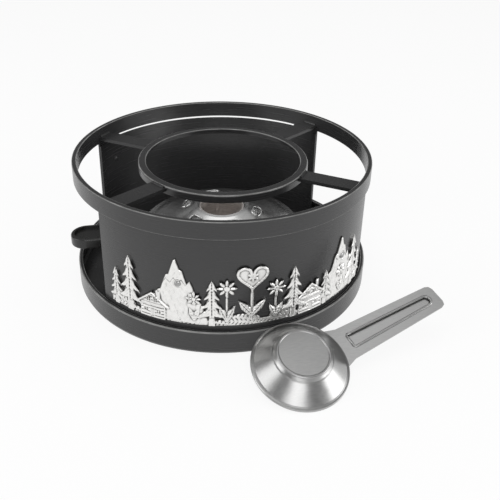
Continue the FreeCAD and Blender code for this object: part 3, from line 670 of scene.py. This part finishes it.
def frieze():
    """The cast plate as a relief over its outline, with a wall down to the panel."""
    s, z, depth, height, edge_s, edge_z = height_map()
    patina_and_shade = patina_and_shade_map(depth, height)
    keep = depth > 0
    s, z = np.where(keep, s, edge_s), np.where(keep, z, edge_z)

    low, high = slice(0, -1), slice(1, None)
    corners = ((low, low), (high, low), (low, high), (high, high))
    cells = keep[corners[0]] | keep[corners[1]] | keep[corners[2]] | keep[corners[3]]
    used = np.zeros(s.shape, bool)
    for corner in corners:
        used[corner] |= cells
    index = np.cumsum(used.ravel()).reshape(used.shape) - 1
    r, c = np.nonzero(cells)
    quads = np.stack([index[r, c], index[r, c + 1], index[r + 1, c + 1], index[r + 1, c]], 1)

    def bent(radius):
        """The used grid points on a cylinder about the stand's axis."""
        turn = s[used] / PANEL_R
        return np.stack([radius * np.sin(turn), -radius * np.cos(turn), z[used]], 1) * MM

    front = bent(PANEL_R + np.clip(height[used], THINNEST, THICKEST))
    back = bent(PANEL_R + BEHIND)
    n = len(front)
    faces = quads.tolist() + [(b, a, a + n, b + n) for a, b in open_edges(quads)]
    mesh = bpy.data.meshes.new("frieze_relief")
    mesh.from_pydata(np.concatenate([front, back]).tolist(), [], faces)
    # patina and painted shade, kept on the points for the silver's colour
    dark = mesh.attributes.new("patina_and_shade", "FLOAT", "POINT")
    dark.data.foreach_set("value", np.tile(patina_and_shade[used], 2).astype(np.float32))
    mesh.validate()
    obj = bpy.data.objects.new("frieze_relief", mesh)
    bpy.context.scene.collection.objects.link(obj)
    bpy.context.view_layer.objects.active = obj
    obj.select_set(True)
    bpy.ops.object.mode_set(mode="EDIT")
    bpy.ops.mesh.select_all(action="SELECT")
    bpy.ops.mesh.delete_loose()
    bpy.ops.object.mode_set(mode="OBJECT")
    obj.select_set(False)
    mesh.shade_smooth()
    mesh.set_sharp_from_angle(angle=math.radians(PLATE_SHARP))
    mesh.materials.append(MATERIALS["silver_relief"])
    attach(obj, "stand")
    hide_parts("frieze_plate")


# ---- burner and snuffer details ------------------------------------------------------
# The dome's outside: share of the way in from its edge, and share of the rise there.
DOME_CURVE = (
    (0.14, 0.17), (0.24, 0.3), (0.35, 0.43), (0.47, 0.56), (0.6, 0.69),
    (0.73, 0.81), (0.85, 0.91), (0.94, 0.98), (1.0, 1.0),
)
DOME_REACH = BOWL_R - MOUTH_R - LIP_R
DOME_EDGE = FLANGE_Z + DOME_T
DOME_LINE = [(BOWL_R, DOME_EDGE), (BOWL_R - DOME_REACH * 0.06, DOME_EDGE + DOME_RISE * 0.05)]
DOME_LINE += [(BOWL_R - DOME_REACH * a, FLANGE_Z + DOME_RISE * b) for a, b in DOME_CURVE]
SCREEN_IN = 22.6        # inner radius of the screen
SCREEN_W = 12.1
SCREEN_DROP = 1.53      # below the dome's outside
SCREEN_CELLS = (12, 176)                        # outwards and round
WIRE = 0.34             # thickness of its wires
COLLAR_OUT = 0.2        # a slot's collar lies this far outside its edge
COLLAR_RISE = 0.12      # middle of the collar above the dome
COLLAR_BEAD = (0.55, 0.42)                      # half width and half height
CENTRE_EDGE = (BOSS_R + 0.2, CAP_H - 0.3)       # radius and height of its middle line
CENTRE_BEAD = (1.15, 0.85)
TROUGH_Z = -0.12        # height of its edge's middle line
TROUGH_BEAD = (1.0, 0.75)
TROUGH_CORNER = 1.0     # cut corners at the trough's start
HANDLE_BEND = (SNUFF_R - 1, 0, -0.7)            # where the handle bends upwards
UP = Vector((0, 0, 1))


def dome_height(radius):
    """Outer surface of the dome, in millimetres."""
    radii, heights = zip(*reversed(DOME_LINE))
    return float(np.interp(radius, radii, heights))


def new_object(name, verts, faces, node, slot, body):
    """A piece with the look of a CAD node, on that node's body."""
    mesh = bpy.data.meshes.new(name)
    mesh.from_pydata(verts, [], faces)
    mesh.validate()
    mesh.shade_smooth()
    mesh.materials.append(OWN_LOOK.get(node, MATERIALS[slot]))
    obj = bpy.data.objects.new(name, mesh)
    bpy.context.scene.collection.objects.link(obj)
    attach(obj, body)
    return obj


def flame_screen():
    """The sheet under the slots as a real screen of fine wires with square holes."""
    rings, steps = SCREEN_CELLS
    verts, faces = [], []
    for i in range(rings + 1):
        r = SCREEN_IN + SCREEN_W * i / rings
        z = dome_height(r) - SCREEN_DROP
        for k in range(steps):
            a = 2 * math.pi * k / steps
            verts.append(((BURNER_X + r * math.cos(a)) * MM, r * math.sin(a) * MM, z * MM))
    for i in range(rings):
        for k in range(steps):
            j = (k + 1) % steps
            faces.append((i * steps + k, (i + 1) * steps + k, (i + 1) * steps + j, i * steps + j))
    obj = new_object("flame_screen", verts, faces, "flame_grid", "brushed_steel", "burner_top")
    wire = obj.modifiers.new("wires", "WIREFRAME")
    wire.thickness = WIRE * MM
    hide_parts("flame_grid")


def bead(name, path, up, size, node, body, sides=8):
    """A closed rounded bead along a path of points in millimetres, with the look of its node, or of
    polished steel where the node has none of its own. Its size is its half width and half height."""
    wide, high = size
    verts, faces = [], []
    for k in range(len(path)):
        ahead = (path[(k + 1) % len(path)] - path[k - 1]).normalized()
        side = ahead.cross(up).normalized()
        rise = side.cross(ahead)
        q = (k + 1) % len(path)
        for m in range(sides):
            b = 2 * math.pi * m / sides
            verts.append((path[k] + side * math.cos(b) * wide + rise * math.sin(b) * high) * MM)
            w = (m + 1) % sides
            faces.append((k * sides + m, k * sides + w, q * sides + w, q * sides + m))
    new_object(name, verts, faces, node, "polished_steel", body)


def slot_collars(steps=40):
    """A pressed collar round each oval slot of the dome."""
    straight = (SLOT_L - SLOT_W) / 2
    end_r = SLOT_W / 2 + COLLAR_OUT
    for n in range(SLOT_COUNT):
        turn = math.radians(SLOT_START + 360 / SLOT_COUNT * n)
        path = []
        for k in range(steps):
            a = 2 * math.pi * (k + 0.5) / steps
            x = SLOT_R + end_r * math.cos(a)
            y = end_r * math.sin(a) + math.copysign(straight, math.sin(a))
            px = x * math.cos(turn) - y * math.sin(turn)
            py = x * math.sin(turn) + y * math.cos(turn)
            z = dome_height(math.hypot(px, py)) + COLLAR_RISE
            path.append(Vector((BURNER_X + px, py, z)))
        bead("slot_collar_%d" % (n + 1), path, UP, COLLAR_BEAD, "burner_dome", "burner_top")


def trough_outline(arc_steps=10):
    """Inside of the handle's trough: square with cut corners at its start, round at its end."""
    corner = TROUGH_CORNER
    start = RIB_START + SNUFF_T
    half = RIB_W / 2 - SNUFF_T
    end_r = RIB_END_W / 2 - SNUFF_T
    middle = PADDLE_REACH - RIB_MARGIN - SNUFF_T - end_r
    turns = [math.pi * i / arc_steps - math.pi / 2 for i in range(arc_steps + 1)]
    arc = [(middle + end_r * math.cos(a), end_r * math.sin(a)) for a in turns]
    return [(start, corner - half), (start + corner, -half)] + arc + [
        (start + corner, half), (start, half - corner)]


def snuffer_edges(ring_steps=90, step=4.0):
    """The rounded edges of the snuffer's stamping: round its raised centre and its trough.
    They are laid out flat and then leant on the tray's rim, as the CAD part does it."""
    tilt = math.asin((TRAY_H + SNUFF_GAP) / (2 * SNUFF_R))
    azimuth = math.radians(SNUFF_AZIMUTH)
    outward = Vector((math.cos(azimuth), math.sin(azimuth), 0))
    point_handle = Matrix.Rotation(math.radians(PADDLE_AZIMUTH), 3, "Z")
    lean = Matrix.Rotation(tilt, 3, UP.cross(outward)) @ point_handle
    away = SNUFF_LEAN_R + SNUFF_R * math.cos(tilt) + SNUFF_LIP * math.sin(tilt)
    low = SNUFF_R * math.sin(tilt) + SNUFF_LIP * math.cos(tilt)
    start = outward * away + UP * low

    turns = [2 * math.pi * i / ring_steps for i in range(ring_steps)]
    edge_r, edge_z = CENTRE_EDGE
    ring = [Vector((edge_r * math.cos(a), edge_r * math.sin(a), edge_z)) for a in turns]
    path = [lean @ point + start for point in ring]
    bead("centre_edge", path, lean @ UP, CENTRE_BEAD, "snuffer", "snuffer_body")

    hinge = Vector(HANDLE_BEND)
    bend = Matrix.Rotation(math.radians(-PADDLE_RISE), 3, "Y")
    flat = trough_outline()
    path = []
    for (ax, ay), (bx, by) in zip(flat, flat[1:] + flat[:1]):
        count = max(1, int(math.hypot(bx - ax, by - ay) / step))
        for k in range(count):
            point = Vector((ax + (bx - ax) * k / count, ay + (by - ay) * k / count, TROUGH_Z))
            path.append(lean @ (bend @ (point - hinge) + hinge) + start)
    bead("trough_edge", path, lean @ bend @ UP, TROUGH_BEAD, "snuffer", "snuffer_body")


# ---- stage ---------------------------------------------------------------------------
FLOOR_SIZE = 12         # metres
FLOOR_GREY = 0.86
FLOOR_GLOW = 0.88       # share of white light that the camera and reflections get from it
WHITE = (1, 1, 1, 1)
WORLD_LIGHT = 0.55      # the world's brightness as a light
HORIZON = (0.05, 0.28)  # how steeply up reflections turn from white to dark (0 level, 1 up)
HORIZON_DARK = 0.12
CEILING = (0.42, 0.66)  # and from dark to the ceiling's grey
CEILING_GREY = 0.38
LAMPS = (               # place, target and size in metres, power in watts
    ("overhead", (-0.05, 0.12, 1.5), (0, 0, 0.04), 1.5, 5),
    ("front", (-0.17, -1.25, 0.72), (0, -0.05, 0.04), 0.75, 5),
    ("right", (1.25, -0.55, 0.30), (0, 0, 0.06), 0.8, 7),
    ("left", (-1.2, -0.2, 0.6), (0, 0, 0.06), 0.8, 5),
)
CAMERA_PLACE = (-0.0799, -0.4559, 0.3015)       # metres
CAMERA_HEADING = 12.59  # degrees to the right of straight ahead
CAMERA_DROP = 25.89     # degrees below level
CAMERA_ROLL = 1.47
CAMERA_LENS = 46.35     # on a sensor 36 mm wide
CAMERA_SHIFT = -0.14


def floor():
    """A pale floor. To the camera and in reflections it is nearly as white as the world."""
    bpy.ops.mesh.primitive_plane_add(size=FLOOR_SIZE)
    plane = bpy.context.object
    plane.name = "floor"
    mat = bpy.data.materials.new("pale_floor")
    mat.use_nodes = True
    nodes, links = mat.node_tree.nodes, mat.node_tree.links
    nodes.clear()
    out = nodes.new("ShaderNodeOutputMaterial")
    plain = nodes.new("ShaderNodeBsdfDiffuse")
    plain.inputs["Color"].default_value = (FLOOR_GREY, FLOOR_GREY, FLOOR_GREY, 1)
    glow = nodes.new("ShaderNodeEmission")
    glow.inputs["Color"].default_value = WHITE
    glow.inputs["Strength"].default_value = 1.0
    path = nodes.new("ShaderNodeLightPath")
    seen = path.outputs["Is Camera Ray"]
    for ray in ("Is Glossy Ray", "Is Transmission Ray"):
        either = nodes.new("ShaderNodeMath")
        either.operation = "MAXIMUM"
        links.new(seen, either.inputs[0])
        links.new(path.outputs[ray], either.inputs[1])
        seen = either.outputs[0]
    share = nodes.new("ShaderNodeMath")
    share.operation = "MULTIPLY"
    share.inputs[1].default_value = FLOOR_GLOW
    mix = nodes.new("ShaderNodeMixShader")
    links.new(seen, share.inputs[0])
    links.new(share.outputs[0], mix.inputs[0])
    links.new(plain.outputs[0], mix.inputs[1])
    links.new(glow.outputs[0], mix.inputs[2])
    links.new(mix.outputs[0], out.inputs["Surface"])
    plane.data.materials.append(mat)


def world():
    """White to the camera, and about half as bright as a light. In reflections it is white
    low down, dark above that and a dim ceiling overhead, as in a studio."""
    w = bpy.data.worlds.new("studio")
    bpy.context.scene.world = w
    w.use_nodes = True
    nodes, links = w.node_tree.nodes, w.node_tree.links
    nodes.clear()
    out = nodes.new("ShaderNodeOutputWorld")
    back = nodes.new("ShaderNodeBackground")
    back.inputs["Color"].default_value = WHITE
    path = nodes.new("ShaderNodeLightPath")
    coords = nodes.new("ShaderNodeTexCoord")
    split = nodes.new("ShaderNodeSeparateXYZ")
    links.new(coords.outputs["Generated"], split.inputs[0])

    def ranged(value, start, end, low, high):
        """low where value is start, high where it is end, and in proportion between."""
        node = nodes.new("ShaderNodeMapRange")
        links.new(value, node.inputs["Value"])
        limits = {"From Min": start, "From Max": end, "To Min": low, "To Max": high}
        for name, limit in limits.items():
            if isinstance(limit, bpy.types.NodeSocket):
                links.new(limit, node.inputs[name])
            else:
                node.inputs[name].default_value = limit
        return node.outputs[0]

    height = split.outputs["Z"]
    below = ranged(height, *HORIZON, 1.0, HORIZON_DARK)
    mirrored = ranged(height, *CEILING, below, CEILING_GREY)
    level = ranged(path.outputs["Is Glossy Ray"], 0.0, 1.0, WORLD_LIGHT, mirrored)
    level = ranged(path.outputs["Is Transmission Ray"], 0.0, 1.0, level, 1.0)
    level = ranged(path.outputs["Is Camera Ray"], 0.0, 1.0, level, 1.0)
    links.new(level, back.inputs["Strength"])
    links.new(back.outputs[0], out.inputs["Surface"])


def lamp(name, place, target, size, power):
    """A square lamp at a place, turned towards its target."""
    data = bpy.data.lights.new(name, "AREA")
    data.shape = "SQUARE"
    data.size = size
    data.energy = power
    obj = bpy.data.objects.new(name, data)
    bpy.context.scene.collection.objects.link(obj)
    obj.location = place
    aim = Vector(target) - Vector(place)
    obj.rotation_euler = aim.to_track_quat("-Z", "Y").to_euler()


def camera():
    """At the photograph's viewing angle, with only a little vertical shift."""
    data = bpy.data.cameras.new("camera")
    obj = bpy.data.objects.new("camera", data)
    bpy.context.scene.collection.objects.link(obj)
    data.sensor_width = 36
    data.lens = CAMERA_LENS
    data.shift_y = CAMERA_SHIFT
    heading, drop = math.radians(CAMERA_HEADING), math.radians(CAMERA_DROP)
    level = math.cos(drop)
    ahead = Vector((math.sin(heading) * level, math.cos(heading) * level, -math.sin(drop)))
    roll = Matrix.Rotation(math.radians(CAMERA_ROLL), 3, "Z").to_quaternion()
    turn = ahead.to_track_quat("-Z", "Y") @ roll
    obj.matrix_world = Matrix.Translation(CAMERA_PLACE) @ turn.to_matrix().to_4x4()
    bpy.context.scene.camera = obj


frieze()
flame_screen()
slot_collars()
snuffer_edges()
floor()
world()
for row in LAMPS:
    lamp(*row)
camera()
bpy.context.scene.view_settings.view_transform = "Standard"
